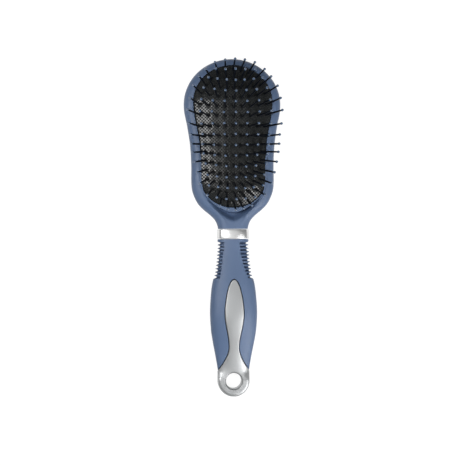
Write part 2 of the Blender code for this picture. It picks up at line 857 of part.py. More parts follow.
def make_eye_hole():
    """Turned cutter for the hanging hole, with a dished mouth on both faces."""
    slope = (eye_hole_mouth_radius - eye_hole_radius) / eye_mouth_depth
    mouth = eye_hole_mouth_radius + slope * overrun
    profile = [
        (0.0, eye_depth + overrun),
        (mouth, eye_depth + overrun),
        (eye_hole_radius, eye_depth - eye_mouth_depth),
        (eye_hole_radius, eye_mouth_depth),
        (mouth, -overrun),
        (0.0, -overrun),
    ]
    mesh = bpy.data.meshes.new("eye_hole")
    mesh.from_pydata([(r, 0.0, z) for r, z in profile], [(i, i + 1) for i in range(len(profile) - 1)], [])
    hole = bpy.data.objects.new("eye_hole", mesh)
    hole.location = (0.0, eye_y, 0.0)
    turn = hole.modifiers.new("turn", "SCREW")
    turn.steps = hole_sides
    turn.render_steps = hole_sides
    turn.use_merge_vertices = True
    turn.merge_threshold = weld
    return as_cutter(hole, "eye_hole")


make_head_shell()
make_air_cushion()
for row_index, pin_row in enumerate(pin_places()):
    make_pin_row(row_index + 1, pin_row)
make_ferrule()
make_handle_core()
make_grip()
make_eye_cap()
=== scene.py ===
# %% [markdown]
# # A cushion hair brush, dressed piece by piece
# The brush lies on its back with its pins up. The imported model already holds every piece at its
# real size, in metres, with +Z out of the pad and +Y towards the top of the head. This notebook
# keeps that frame and gives each visible piece its fine surface and its finish.

# %% Load the frame
import math
import random

import bmesh
import bpy
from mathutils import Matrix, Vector
from mathutils.kdtree import KDTree


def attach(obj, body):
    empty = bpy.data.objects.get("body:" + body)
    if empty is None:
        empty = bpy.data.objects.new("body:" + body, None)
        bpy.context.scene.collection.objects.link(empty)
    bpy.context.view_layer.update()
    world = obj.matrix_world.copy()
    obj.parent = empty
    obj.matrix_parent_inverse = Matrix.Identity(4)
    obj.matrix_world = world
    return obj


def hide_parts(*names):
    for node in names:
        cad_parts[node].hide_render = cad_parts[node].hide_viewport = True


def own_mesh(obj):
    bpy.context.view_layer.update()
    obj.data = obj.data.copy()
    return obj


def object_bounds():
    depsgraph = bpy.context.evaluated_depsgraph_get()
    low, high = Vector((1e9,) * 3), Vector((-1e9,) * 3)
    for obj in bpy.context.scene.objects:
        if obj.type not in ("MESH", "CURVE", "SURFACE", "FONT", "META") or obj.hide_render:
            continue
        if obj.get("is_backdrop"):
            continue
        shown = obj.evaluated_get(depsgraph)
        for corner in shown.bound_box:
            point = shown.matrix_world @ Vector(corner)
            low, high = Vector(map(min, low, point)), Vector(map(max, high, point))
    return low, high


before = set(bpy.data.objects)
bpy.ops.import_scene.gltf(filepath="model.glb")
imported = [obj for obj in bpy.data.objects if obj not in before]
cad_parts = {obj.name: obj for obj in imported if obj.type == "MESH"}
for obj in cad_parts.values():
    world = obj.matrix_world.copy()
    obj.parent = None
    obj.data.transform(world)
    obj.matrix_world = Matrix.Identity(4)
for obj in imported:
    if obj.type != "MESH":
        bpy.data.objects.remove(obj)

cad_low, cad_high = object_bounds()
mm = 0.001

# %% [markdown]
# ## Camera
# The photograph looks almost straight down from about 0.9 m, from a little to the left, so the
# tall pins lean to the right in the picture. A flat, orthographic camera would be simpler, but a
# long lens from that distance gives the photograph's slight perspective. The camera is turned by
# a fraction of a degree, as the brush is in the frame.

# %% Camera
picture_width = 322.5 * mm
camera_distance = 0.9
camera_tilt = math.radians(-5.0)
camera_roll = math.radians(-0.34)
aim = Vector((0.1 * mm, -66.4 * mm, 7.0 * mm))

lens_data = bpy.data.cameras.new("camera")
camera = bpy.data.objects.new("camera", lens_data)
bpy.context.scene.collection.objects.link(camera)
bpy.context.scene.camera = camera
lens_data.sensor_width = 36.0
lens_data.lens = lens_data.sensor_width * camera_distance / picture_width
camera.rotation_euler = (0.0, camera_tilt, camera_roll)
bpy.context.view_layer.update()
camera.location = aim + camera.matrix_world.to_3x3() @ Vector((0.0, 0.0, camera_distance))
print("lens", round(lens_data.lens, 1), "mm at", camera_distance, "m")

# %% [markdown]
# ## Floor and light
# A product photograph like this is lit by soft boxes and white cards, and every glossy piece
# mirrors them. A tall box on the left draws the bright band down the pad. A wide one on the lower
# right lights the right side of the handle, the eye and the pad's lower right. Four cards give
# the light from above, the bright right edges of the tongue and the eye, and the ferrule's white
# left half. A bright world alone would be simpler, but it makes metal look flat, so the world is
# only a weak fill. The floor is white to the camera and in reflections, and still takes the
# brush's soft shadow.

# %% White floor
floor_size = 6.0
floor_drop = 0.05 * mm
floor_grey = (0.16, 0.16, 0.16, 1.0)
floor_glow = 0.93


def add_node(material, kind, **values):
    """A node with its settings, where a value's name is a socket's or a property's."""
    node = material.node_tree.nodes.new(kind)
    for key, value in values.items():
        if key in node.inputs:
            node.inputs[key].default_value = value
        else:
            setattr(node, key, value)
    return node


bpy.ops.object.select_all(action="DESELECT")
bpy.ops.mesh.primitive_plane_add(size=floor_size, location=(0.0, 0.0, -floor_drop))
floor = bpy.context.object
floor.name = "floor"
floor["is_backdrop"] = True

floor_paint = bpy.data.materials.new("white_floor")
floor_paint.use_nodes = True
floor_paint.node_tree.nodes.clear()
light_path = add_node(floor_paint, "ShaderNodeLightPath")
diffuse = add_node(floor_paint, "ShaderNodeBsdfDiffuse", Color=floor_grey)
glow = add_node(floor_paint, "ShaderNodeEmission")
seen = add_node(floor_paint, "ShaderNodeMath", operation="ADD")
lift = add_node(floor_paint, "ShaderNodeMath", operation="MULTIPLY")
lift.inputs[1].default_value = floor_glow
total = add_node(floor_paint, "ShaderNodeAddShader")
output = add_node(floor_paint, "ShaderNodeOutputMaterial")
link = floor_paint.node_tree.links.new
link(light_path.outputs["Is Camera Ray"], seen.inputs[0])
link(light_path.outputs["Is Glossy Ray"], seen.inputs[1])
link(seen.outputs[0], lift.inputs[0])
link(lift.outputs[0], glow.inputs["Strength"])
link(diffuse.outputs[0], total.inputs[0])
link(glow.outputs[0], total.inputs[1])
link(total.outputs[0], output.inputs["Surface"])
floor.data.materials.append(floor_paint)
print(floor.name, floor_size, "m wide")

# %% World, soft boxes and cards
world_tint = (0.96, 0.98, 1.0, 1.0)
world_fill = 0.17

world = bpy.data.worlds.new("studio")
world.use_nodes = True
bpy.context.scene.world = world
background = world.node_tree.nodes["Background"]
background.inputs["Color"].default_value = world_tint
background.inputs["Strength"].default_value = world_fill
bpy.context.scene.view_settings.view_transform = "Standard"


def soft_box(name, place, target, width, height, power):
    """A rectangular lamp that faces a target, with its height along the brush."""
    lamp_data = bpy.data.lights.new(name, "AREA")
    lamp_data.shape = "RECTANGLE"
    lamp_data.size = width
    lamp_data.size_y = height
    lamp_data.energy = power
    lamp = bpy.data.objects.new(name, lamp_data)
    bpy.context.scene.collection.objects.link(lamp)
    lamp.location = place
    lamp.rotation_euler = (Vector(target) - Vector(place)).to_track_quat("-Z", "Y").to_euler()


soft_box("left_box", (-0.355, 0.0, 0.39), (0.0, -0.01, 0.01), 0.15, 0.30, 1.2)
soft_box("right_box", (0.36, -0.44, 0.36), (0.0, -0.14, 0.01), 0.40, 0.50, 2.9)
soft_box("handle_card", (0.0, -0.38, 1.25), (0.0, -0.14, 0.0), 0.60, 0.60, 0.36)
soft_box("pad_card", (0.20, 0.12, 1.25), (0.0, 0.0, 0.0), 0.80, 0.36, 0.45)
soft_box("right_card", (0.36, -0.29, 0.58), (0.0, -0.15, 0.0), 0.12, 0.26, 0.60)
soft_box("ferrule_card", (-0.22, -0.067, 0.62), (0.0, -0.067, 0.0), 0.38, 0.32, 0.70)
print("two soft boxes and four cards")

# %% [markdown]
# ## The brush's own sizes
# The fine pieces have to lie where the solid ones are. They could be measured on the solids, but
# a list is easier to read and to change, so the sizes of the brush are written here once, in
# millimetres times mm, and each piece reads them.

# %% Sizes of the brush
gap = 0.3 * mm
pad_half_length = 48.65 * mm
pad_top_half_width = 27.0 * mm
pad_top_reach = 25.0 * mm
pad_waist_run = 34.0 * mm
pad_low_width_share = 0.8333
pad_low_reach = 20.0 * mm
pad_crown = 6.4 * mm
pad_dome_power = 0.85
pad_thickness = 1.3 * mm
head_depth = 14.0 * mm
head_side_rim = 6.5 * mm
head_round_reach = 31.6 * mm
head_top_rim = 5.2 * mm
throat_length = 14.9 * mm
neck_half_width = 10.35 * mm
neck_front = 14.2 * mm
neck_back = 0.9 * mm
edge_round = 7.0 * mm
back_round = 14.0 * mm
head_outline_shares = (
    (0.0, 0.0), (0.031, 0.022), (0.072, 0.093), (0.113, 0.24), (0.153, 0.42), (0.193, 0.565),
    (0.234, 0.66), (0.30, 0.755), (0.37, 0.787), (0.52, 0.787), (0.677, 0.82), (0.839, 0.91),
    (0.93, 0.98), (1.0, 1.0),
)
ferrule_length = 6.4 * mm
ferrule_proud = 0.65 * mm
grip_upper_run = 50.5 * mm
grip_lower_run = 40.3 * mm
grip_half_width = 16.3 * mm
grip_front = 17.4 * mm
grip_back = 0.4 * mm
grip_wall = 2.5 * mm
grip_upper_shares = (
    (0.0, 0.0), (0.218, 0.14), (0.356, 0.263), (0.495, 0.456), (0.56, 0.60), (0.63, 0.74),
    (0.766, 0.885), (1.0, 1.0),
)
grip_lower_shares = (
    (0.0, 1.0), (0.308, 0.875), (0.479, 0.68), (0.653, 0.43), (0.824, 0.19), (1.0, 0.0),
)
eye_radius = 11.0 * mm
eye_depth = 9.8 * mm
eye_set = 7.0 * mm

pad_low_half_width = pad_low_width_share * pad_top_half_width
pad_top_lobe_y = pad_half_length - pad_top_reach
pad_low_lobe_y = pad_low_reach - pad_half_length
head_half_width = pad_top_half_width + head_side_rim
head_top_y = pad_half_length + head_top_rim
head_lobe_y = head_top_y - head_round_reach
neck_y = -(pad_half_length + throat_length)
ferrule_top_y = neck_y - gap
ferrule_low_y = ferrule_top_y - ferrule_length
grip_top_y = ferrule_low_y - gap
belly_y = grip_top_y - grip_upper_run
grip_low_y = belly_y - grip_lower_run
shoulder_y = grip_low_y - gap
eye_y = shoulder_y - eye_set
grip_top_half_width = neck_half_width + ferrule_proud / 2
pad_edge_z = head_depth - gap
print("brush from y", round(eye_y - eye_radius, 4), "to", round(head_top_y, 4))

# %% [markdown]
# ## Curves that the pieces share
# Outlines that a designer draws with a spline are written as short tables of shares, read with a
# smooth curve. A Bezier curve would do for one outline, but a function also tells how wide or
# high a piece is at any place, which the pins, the dome, the grip and the eye cap all ask.

# %% Shared curves
def between(low, high, share):
    return low + (high - low) * share


def ease(share):
    """Half a cosine wave from 0 to 1."""
    share = min(max(share, 0.0), 1.0)
    return (1 - math.cos(math.pi * share)) / 2


def smooth_through(pairs, place):
    """Value at a place on a smooth curve through (place, value) pairs, level at both ends."""
    last = len(pairs) - 1

    def slope(i):
        if i in (0, last):
            return 0.0
        return (pairs[i + 1][1] - pairs[i - 1][1]) / (pairs[i + 1][0] - pairs[i - 1][0])

    i = 0
    while i < last - 1 and place > pairs[i + 1][0]:
        i += 1
    (t0, v0), (t1, v1) = pairs[i], pairs[i + 1]
    run = t1 - t0
    t = min(max((place - t0) / run, 0.0), 1.0)
    rise = (1 + 2 * t) * (1 - t) ** 2 * v0 + t * t * (3 - 2 * t) * v1
    return rise + run * t * (1 - t) * ((1 - t) * slope(i) - t * slope(i + 1))


def round_end(y, centre, reach):
    """Share of the full half-width left at y on an elliptic end."""
    share = min(abs(y - centre) / reach, 1.0)
    return math.sqrt(1 - share * share)


def spaced(low, high, count):
    return [between(low, high, i / (count - 1)) for i in range(count)]


def pad_half_width(y):
    if y >= pad_top_lobe_y:
        return pad_top_half_width * round_end(y, pad_top_lobe_y, pad_top_reach)
    if y <= pad_low_lobe_y:
        return pad_low_half_width * round_end(y, pad_low_lobe_y, pad_low_reach)
    share = ease((pad_top_lobe_y - y) / pad_waist_run)
    return between(pad_top_half_width, pad_low_half_width, share)


def head_half_width_at(y):
    if y >= head_lobe_y:
        return head_half_width * round_end(y, head_lobe_y, head_round_reach)
    step = smooth_through(head_outline_shares, (y - neck_y) / (head_lobe_y - neck_y))
    return between(neck_half_width, head_half_width, step)


def pad_dome(x, y):
    """Height of the pad's top over its edge."""
    room = max(pad_half_width(y) ** 2 - x * x, 0.0) / pad_top_half_width ** 2
    return pad_crown * room ** pad_dome_power


def walk(line, count):
    """Places at count even steps along an open line, with both its ends."""
    steps = [math.dist(a, b) for a, b in zip(line, line[1:])]
    total_length = sum(steps)
    places, walked, k = [], 0.0, 0
    for i in range(count + 1):
        wanted = total_length * i / count
        while k < len(steps) - 1 and walked + steps[k] < wanted:
            walked += steps[k]
            k += 1
        share = (wanted - walked) / steps[k]
        places.append(tuple(between(a, b, share) for a, b in zip(line[k], line[k + 1])))
    return places


def quarter_turn(count):
    """Angles from 0 to 90 degrees in even steps."""
    return [math.pi / 2 * i / count for i in range(count + 1)]


def towards_tip(start, tip, count=400):
    """Places from a start to a round tip, ever closer together."""
    return [between(start, tip, math.sin(turn)) for turn in quarter_turn(count)[1:]]


def mirrored(half):
    """A closed ring from its right half, which starts and ends on the middle line."""
    return list(half) + [(-p[0],) + tuple(p[1:]) for p in reversed(half[1:-1])]


print("pad", round(2 * pad_half_width(0.0) / mm, 1), "mm wide at its middle")

# %% [markdown]
# ## Tools for modelling by hand
# Most of this brush's pieces are tubes of changing section: a handle, a ring, a rim that turns
# over into a pocket. Each starts as a cylinder whose side is cut into rings with Subdivide, and
# then every ring is moved to its place. One helper does that and turns the normals outwards, one
# carves with a Boolean, and one finishes a piece: it gives it its material, shades it and hands
# it to the body that it rides on.

# %% Modelling tools
def clear_selection():
    bpy.ops.object.select_all(action="DESELECT")


def select_only(obj):
    clear_selection()
    obj.select_set(True)
    bpy.context.view_layer.objects.active = obj


def skin(name, rings, joined_ends=False):
    """A cylinder cut into rings, with each ring's points moved to their places."""
    around, count, half_height = len(rings[0]), len(rings), 0.5
    clear_selection()
    bpy.ops.mesh.primitive_cylinder_add(vertices=around, radius=1.0, depth=2 * half_height)
    tube = bpy.context.object
    tube.name = tube.data.name = name
    bpy.ops.object.mode_set(mode="EDIT")
    if count > 2:
        bpy.ops.mesh.select_mode(type="EDGE")
        bpy.ops.mesh.select_all(action="DESELECT")
        cage = bmesh.from_edit_mesh(tube.data)
        for edge in cage.edges:
            edge.select_set(abs(edge.verts[0].co.z - edge.verts[1].co.z) > half_height)
        bmesh.update_edit_mesh(tube.data)
        bpy.ops.mesh.subdivide(number_cuts=count - 2)
    bpy.ops.object.mode_set(mode="OBJECT")
    for vert in tube.data.vertices:
        turn = math.atan2(vert.co.x, vert.co.y) / (2 * math.pi)
        ring = round((vert.co.z + half_height) * (count - 1))
        vert.co = rings[ring][round(turn * around) % around]
    bpy.ops.object.mode_set(mode="EDIT")
    if joined_ends:
        bpy.ops.mesh.select_mode(type="FACE")
        bpy.ops.mesh.select_all(action="DESELECT")
        cage = bmesh.from_edit_mesh(tube.data)
        for face in cage.faces:
            face.select_set(len(face.verts) == around)
        bmesh.update_edit_mesh(tube.data)
        bpy.ops.mesh.delete(type="ONLY_FACE")
        bpy.ops.mesh.select_mode(type="EDGE")
        bpy.ops.mesh.select_non_manifold()
        bpy.ops.mesh.bridge_edge_loops()
    bpy.ops.mesh.select_all(action="SELECT")
    bpy.ops.mesh.normals_make_consistent(inside=False)
    bpy.ops.object.mode_set(mode="OBJECT")
    return tube


def apply_modifier(obj, kind, **settings):
    select_only(obj)
    step = obj.modifiers.new(kind.lower(), kind)
    for key, value in settings.items():
        setattr(step, key, value)
    bpy.ops.object.modifier_apply(modifier=step.name)


def carve(obj, cutter, operation="DIFFERENCE"):
    """Cut a piece with another, or join or overlap them, and remove the other."""
    apply_modifier(obj, "BOOLEAN", operation=operation, solver="EXACT", object=cutter)
    bpy.data.objects.remove(cutter, do_unlink=True)


def finish_piece(obj, material, body, nodes_replaced, sharp_from):
    """Shade a piece, give it its finish and put it in the place of its CAD nodes."""
    obj.data.materials.clear()
    obj.data.materials.append(material)
    select_only(obj)
    bpy.ops.object.shade_smooth_by_angle(angle=math.radians(sharp_from))
    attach(obj, body)
    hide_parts(*nodes_replaced)
    size = [round(value / mm, 1) for value in obj.dimensions]
    print(obj.name, "faces", len(obj.data.polygons), "size in mm", size)


# %% [markdown]
# ## Finishes
# Eight finishes cover the whole brush. Each one is a Principled shader whose bump, and often its
# colour and roughness, come from noise or waves in object space, at the real scale of the grain.
# A picture of the grain would need the piece unwrapped first, and would repeat.

# %% Helpers for materials
def main_inputs(material):
    """The sockets of a material's main shader."""
    return material.node_tree.nodes["Principled BSDF"].inputs


def new_finish(name, colour, metallic, roughness):
    """A new material whose main shader has these values."""
    made = bpy.data.materials.new(name)
    made.use_nodes = True
    made.diffuse_color = (*colour, 1.0)
    main_inputs(made)["Base Color"].default_value = (*colour, 1.0)
    main_inputs(made)["Metallic"].default_value = metallic
    main_inputs(made)["Roughness"].default_value = roughness
    return made


def noise(material, scale, detail=2.0, stretch=(1.0, 1.0, 1.0)):
    """Noise in object space. Scale is in cells a metre."""
    places = add_node(material, "ShaderNodeTexCoord")
    mapping = add_node(material, "ShaderNodeMapping", Scale=stretch)
    texture = add_node(material, "ShaderNodeTexNoise", Scale=scale, Detail=detail)
    link = material.node_tree.links.new
    link(places.outputs["Object"], mapping.inputs["Vector"])
    link(mapping.outputs["Vector"], texture.inputs["Vector"])
    return texture.outputs["Fac"]


def spread(material, source, low, high, start=0.3, stop=0.7):
    """Stretch a texture's range from start to stop to run from low to high."""
    node = add_node(material, "ShaderNodeMapRange")
    for name, value in zip(("From Min", "From Max", "To Min", "To Max"), (start, stop, low, high)):
        node.inputs[name].default_value = value
    material.node_tree.links.new(source, node.inputs["Value"])
    return node.outputs["Result"]


def tint(material, source, dark, light):
    """Let a texture run the base colour between two close shades."""
    mix = add_node(material, "ShaderNodeMix", data_type="RGBA")
    colours = [socket for socket in mix.inputs if socket.type == "RGBA"]
    colours[0].default_value = (*dark, 1.0)
    colours[1].default_value = (*light, 1.0)
    link = material.node_tree.links.new
    link(source, mix.inputs["Factor"])
    link([s for s in mix.outputs if s.type == "RGBA"][0], main_inputs(material)["Base Color"])


def bump(material, source, height, strength=1.0):
    node = add_node(material, "ShaderNodeBump", Strength=strength, Distance=height)
    link = material.node_tree.links.new
    link(source, node.inputs["Height"])
    link(node.outputs["Normal"], main_inputs(material)["Normal"])


def vary_roughness(material, source, low, high, *reach):
    """Let a texture run the roughness from low to high."""
    rough = spread(material, source, low, high, *reach)
    material.node_tree.links.new(rough, main_inputs(material)["Roughness"])


print("materials so far", len(bpy.data.materials))

# %% [markdown]
# The blue plastic has a soft-touch coat: silky, with a broad highlight, a very fine moulded grain
# and a slight cloudiness. Sheen would look like cloth, so a middling roughness gives the silk.
# The floors of the finger slots get a darker, duller blue, a painted shade, as in the photograph.

# %% Soft-touch blue
blue_coat = new_finish("soft_touch_blue", (0.093, 0.143, 0.248), 0.0, 0.5)
cloud = spread(blue_coat, noise(blue_coat, 45.0), 0.0, 1.0)
tint(blue_coat, cloud, (0.087, 0.136, 0.238), (0.099, 0.150, 0.258))
blue_grain_scale = 2600.0
blue_grain_height = 0.03 * mm
bump(blue_coat, noise(blue_coat, blue_grain_scale), blue_grain_height, 0.5)
vary_roughness(blue_coat, noise(blue_coat, 300.0), 0.44, 0.54)

# Painted shade: the slot floors get a darker, duller blue, as if little light reached them.
slot_painted_shade = new_finish("slot_painted_shade", (0.042, 0.068, 0.130), 0.0, 0.55)
bump(slot_painted_shade, noise(slot_painted_shade, blue_grain_scale), blue_grain_height, 0.5)
print(blue_coat.name, slot_painted_shade.name)

# %% [markdown]
# The pad is black rubber with a raised grain of dots. Two sine waves at right angles, multiplied,
# put a dot every 1.6 mm along the diagonals. A Checker texture would be simpler, but its edges are
# hard, and moulded rubber's are soft.

# %% Pad rubber
rubber = new_finish("pad_rubber", (0.010, 0.012, 0.013), 0.0, 0.16)
wave_length = 2.2 * mm
dot_height = 0.014 * mm
places = add_node(rubber, "ShaderNodeTexCoord")
phase = add_node(rubber, "ShaderNodeMapping", Scale=(2 * math.pi / wave_length,) * 3)
axes = add_node(rubber, "ShaderNodeSeparateXYZ")
dots = add_node(rubber, "ShaderNodeMath", operation="MULTIPLY")
link = rubber.node_tree.links.new
link(places.outputs["Object"], phase.inputs["Vector"])
link(phase.outputs["Vector"], axes.inputs["Vector"])
for i, axis in enumerate("XY"):
    wave = add_node(rubber, "ShaderNodeMath", operation="SINE")
    link(axes.outputs[axis], wave.inputs[0])
    link(wave.outputs[0], dots.inputs[i])
bump(rubber, dots.outputs[0], dot_height)
# Painted shade: the dents between the dots are darker than the raised dots.
dot_valley_shade = spread(rubber, dots.outputs[0], 0.0, 1.0, -0.25, 0.25)
tint(rubber, dot_valley_shade, (0.002, 0.003, 0.003), (0.012, 0.014, 0.015))
vary_roughness(rubber, dots.outputs[0], 0.85, 0.10, -0.2, 0.2)
print(rubber.name, "dots every", round(wave_length / mm / math.sqrt(2), 2), "mm")

# %% [markdown]
# The pins are navy nylon, nearly black, and glossy from the mould. The balls on their tips are a
# brighter blue, partly their own colour and partly a painted highlight, and a clear coat gives
# each its small sharp highlight, which a lower roughness alone would not.

# %% Nylon and beads
nylon_grain_scale = 1800.0
nylon_grain_height = 0.01 * mm
nylon = new_finish("pin_nylon", (0.003, 0.005, 0.010), 0.0, 0.3)
bump(nylon, noise(nylon, nylon_grain_scale), nylon_grain_height, 0.4)

# Partly a painted highlight: the balls' base blue is much lighter than the shafts' nylon.
bead = new_finish("pin_bead_painted_highlight", (0.050, 0.090, 0.165), 0.0, 0.2)
main_inputs(bead)["Coat Weight"].default_value = 1.0
main_inputs(bead)["Coat Roughness"].default_value = 0.08
bump(bead, noise(bead, nylon_grain_scale), nylon_grain_height, 0.3)
print(nylon.name, bead.name)

# %% [markdown]
# The ferrule is bright metal, turned and polished. Noise that is stretched along x and z and
# squeezed along y leaves faint marks round it. The eye cap is satin silver, as plated plastic is:
# darker, rougher and less of a mirror, with a fine even grain.

# %% Two silvers
bright = new_finish("bright_silver", (0.78, 0.78, 0.775), 0.95, 0.33)
bump(bright, noise(bright, 700.0, 3.0, (0.1, 6.0, 0.1)), 0.002 * mm, 0.5)
vary_roughness(bright, noise(bright, 900.0, 3.0, (0.1, 4.0, 0.1)), 0.30, 0.36)

satin = new_finish("satin_silver", (0.43, 0.44, 0.445), 0.72, 0.40)
bump(satin, noise(satin, 3200.0), 0.02 * mm, 0.2)
vary_roughness(satin, noise(satin, 120.0), 0.38, 0.42)
print(bright.name, satin.name)

# %% [markdown]
# The core inside the grip is plain dark plastic. It only shows as the dark floor of the groove
# round the silver tongue, so it needs no new mesh: the CAD node stays, with a better material.

# %% Core plastic
core_paint = new_finish("core_plastic", (0.02, 0.032, 0.065), 0.0, 0.5)
bump(core_paint, noise(core_paint, 1500.0), 0.02 * mm, 0.5)
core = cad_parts["handle_core"]
core.data.materials.clear()
core.data.materials.append(core_paint)
print(core.name, "keeps its mesh")

# %% [markdown]
# ## The head
# The head is one moulding: a soft-edged back, a rim that rolls over to the pad's mouth, a scooped
# throat under the pad and the pocket below it. It could be cut from a block with Booleans, but
# then the throat would have a hard edge. Here one skin of rings runs from the middle of the back,
# round the edge, over the rim, down the throat and lip, and into the pocket, and the heights come
# from how far a point is from the edge.

# %% Plan of the head
half_count = 124
neck_count = 10
side_count = 500

side_ys = spaced(neck_y, head_lobe_y, side_count) + towards_tip(head_lobe_y, head_top_y)
side_line = [(head_half_width_at(y), y) for y in side_ys]
side_tree = KDTree(2 * len(side_line))
for i, (x, y) in enumerate(side_line):
    side_tree.insert((x, y, 0.0), 2 * i)
    side_tree.insert((-x, y, 0.0), 2 * i + 1)
side_tree.balance()

outer_half = [(neck_half_width * i / neck_count, neck_y) for i in range(neck_count)]
outer_half += walk(side_line, half_count - neck_count)
print("head outline points", 2 * half_count)

# %% Outline of the pad
pad_count = 400
low_turns = quarter_turn(pad_count)[:-1]
pad_ys = [between(pad_low_lobe_y, -pad_half_length, math.cos(turn)) for turn in low_turns]
pad_ys += spaced(pad_low_lobe_y, pad_top_lobe_y, pad_count)
pad_ys += towards_tip(pad_top_lobe_y, pad_half_length)
pad_line = [(pad_half_width(y), y) for y in pad_ys]
pad_half = walk(pad_line, half_count)


def outward(half, i):
    """Outward normal of a half outline at one of its points."""
    x0, y0 = half[i - 1] if i > 0 else (-half[1][0], half[1][1])
    x1, y1 = half[i + 1] if i + 1 < len(half) else (-half[i - 1][0], half[i - 1][1])
    length = math.hypot(x1 - x0, y1 - y0)
    return (y1 - y0) / length, (x0 - x1) / length


def moved_out(half, grow):
    """A half outline moved outwards."""
    normals = [outward(half, i) for i in range(len(half))]
    return [(x + grow * nx, y + grow * ny) for (x, y), (nx, ny) in zip(half, normals)]


def pad_ring(half, grow, z):
    """An outline of the pad moved outwards, at one height."""
    return mirrored([(x, y, z) for x, y in moved_out(half, grow)])


print("pad outline points", 2 * half_count)

# %% [markdown]
# The profile of the edge is a rounded square. A point's height is read from its distance to the
# side of the head, and the throat is a soft bowl that sinks only outside the pad's lip.

# %% Heights of the head
edge_power = 2.4
edge_middle_share = 0.47
bowl_half_width = 20.8 * mm
bowl_reach = 20.6 * mm
bowl_centre_y = -38.2 * mm
bowl_depth = 6.6 * mm
bowl_power = 1.4
bowl_wall_share = 0.34


def rounded(share, power):
    """Rise of a rounded edge over its run, from 0 to 1."""
    share = min(max(share, 0.0), 1.0)
    return (1 - (1 - share) ** power) ** (1 / power)


def levels(y):
    """Back, middle and front heights of the head at y."""
    nearness = ease(1 - (y - neck_y) / throat_length)
    low = between(0.0, neck_back, nearness)
    high = between(head_depth, neck_front, nearness)
    return low, between(low, high, edge_middle_share), high


def front_z(y, inset):
    """Height of the head's front at an inset from its edge, without the bowl."""
    low, middle, high = levels(y)
    return between(middle, high, rounded(inset / edge_round, edge_power))


def bowl(x, y):
    """Depth of the throat's soft bowl."""
    if y > bowl_centre_y:
        return 0.0
    across, along = abs(x) / bowl_half_width, (bowl_centre_y - y) / bowl_reach
    room = 1 - across ** bowl_power - along ** bowl_power
    return bowl_depth * ease(room / bowl_wall_share)


def from_side(x, y):
    """How far a place is from the side of the head."""
    return side_tree.find((x, y, 0.0))[2]


print("bowl", round(bowl(0.0, bowl_centre_y - mm) / mm, 1), "mm deep at its middle")

# %% [markdown]
# The rings follow. On the neck's cut end the rings stay in one plane, so that the ferrule can sit
# square against it. The lip is a narrow band round the pad's mouth, wider at its low end.

# %% Rings on the back and the lip
lip_width = 1.0 * mm
lip_drop = 2.4 * mm
lip_power = 10
roll_room_share = 0.7


def inset_place(i, inset):
    """A point of the outline moved inwards, in the neck's plane on its cut end."""
    x, y = outer_half[i]
    if i <= neck_count:
        return x * (neck_half_width - inset) / neck_half_width, y
    nx, ny = outward(outer_half, i)
    return x - nx * inset, y - ny * inset


def back_ring(share):
    """Half a ring of the rounded back, from its flat (0) to the widest line (1)."""
    half = []
    for i in range(half_count + 1):
        y = outer_half[i][1]
        nearness = ease(1 - (y - neck_y) / throat_length)
        reach = between(back_round, edge_round, ease(2 * nearness))
        inset = reach * (1 - math.sin(math.pi / 2 * share))
        x, y = inset_place(i, inset)
        low, middle, high = levels(y)
        half.append((x, y, between(middle, low, rounded(inset / reach, 2.0))))
    half[-1] = (0.0, half[-1][1], half[-1][2])
    return half


def shrunk(half, share):
    """A half ring of the back drawn towards a spine on the middle line."""
    drawn = []
    for x, y, _ in half:
        spine_y = min(max(y, neck_y + edge_round), head_lobe_y)
        new_y = between(spine_y, y, share)
        drawn.append((x * share, new_y, levels(new_y)[0]))
    return drawn


lip_half = []
for i, (x, y) in enumerate(moved_out(pad_half, lip_width)):
    lip_half.append((x, y - lip_drop * max(-outward(pad_half, i)[1], 0.0) ** lip_power))

edge_ends = []
for i in range(half_count + 1):
    room = math.dist(outer_half[i], lip_half[i])
    reach = edge_round if i <= neck_count else min(edge_round, roll_room_share * room)
    edge_ends.append((inset_place(i, reach), reach))
print("rim rolls over within", round(max(end[1] for end in edge_ends) / mm, 1), "mm")

# %% [markdown]
# Now the skin is laid, ring by ring. The bowl is taken off the height all the way to the lip. Over
# the last millimetre it fades out, which leaves the lip standing as a thin wall.

# %% Skin of the head
back_steps = 9
front_steps = 10
flat_steps = 14
back_shares = (0.12, 0.35, 0.6, 0.82)
wall_offsets = (0.75 * mm, 0.5 * mm, 0.3 * mm, 0.12 * mm, 0.0, -0.2 * mm)
lip_fall = (1.0, 0.93, 0.72, 0.32, 0.08, 0.0)
least_share = 0.1
wall_step_share = 0.15
edge_hold = 0.98

flat_back = back_ring(0.0)
head_halves = [shrunk(flat_back, share) for share in back_shares]
head_halves += [back_ring(step / back_steps) for step in range(back_steps + 1)]
for turn in quarter_turn(front_steps)[1:]:
    half = []
    for i in range(half_count + 1):
        inset = edge_ends[i][1] * (1 - math.cos(turn))
        x, y = inset_place(i, inset)
        half.append((x, y, front_z(y, inset) - bowl(x, y)))
    head_halves.append(half)
for step in range(1, flat_steps + len(wall_offsets)):
    half = []
    for ((kx, ky), reach), (lx, ly) in zip(edge_ends, lip_half):
        room = max(math.dist((kx, ky), (lx, ly)), gap)
        if step < flat_steps:
            share = (step / flat_steps) * max(1 - wall_offsets[0] / room, least_share)
            fall = 1.0
        else:
            offset = wall_offsets[step - flat_steps]
            share = 1 - offset / room
            if offset > 0:
                share = max(share, least_share + wall_step_share * (step - flat_steps))
            fall = lip_fall[step - flat_steps]
        x, y = between(kx, lx, share), between(ky, ly, share)
        inset = max(from_side(x, y), reach * edge_hold)
        half.append((x, y, front_z(y, inset) - fall * bowl(x, y)))
    head_halves.append(half)
print("rings down to the lip", len(head_halves))

# %% Mouth and pocket of the head
mouth_round = 0.25 * mm
mouth_shares = (0.35, 0.7)
rim_z = head_depth
ledge_width = 1.5 * mm
ledge_z = 11.4 * mm
back_wall = 3.0 * mm

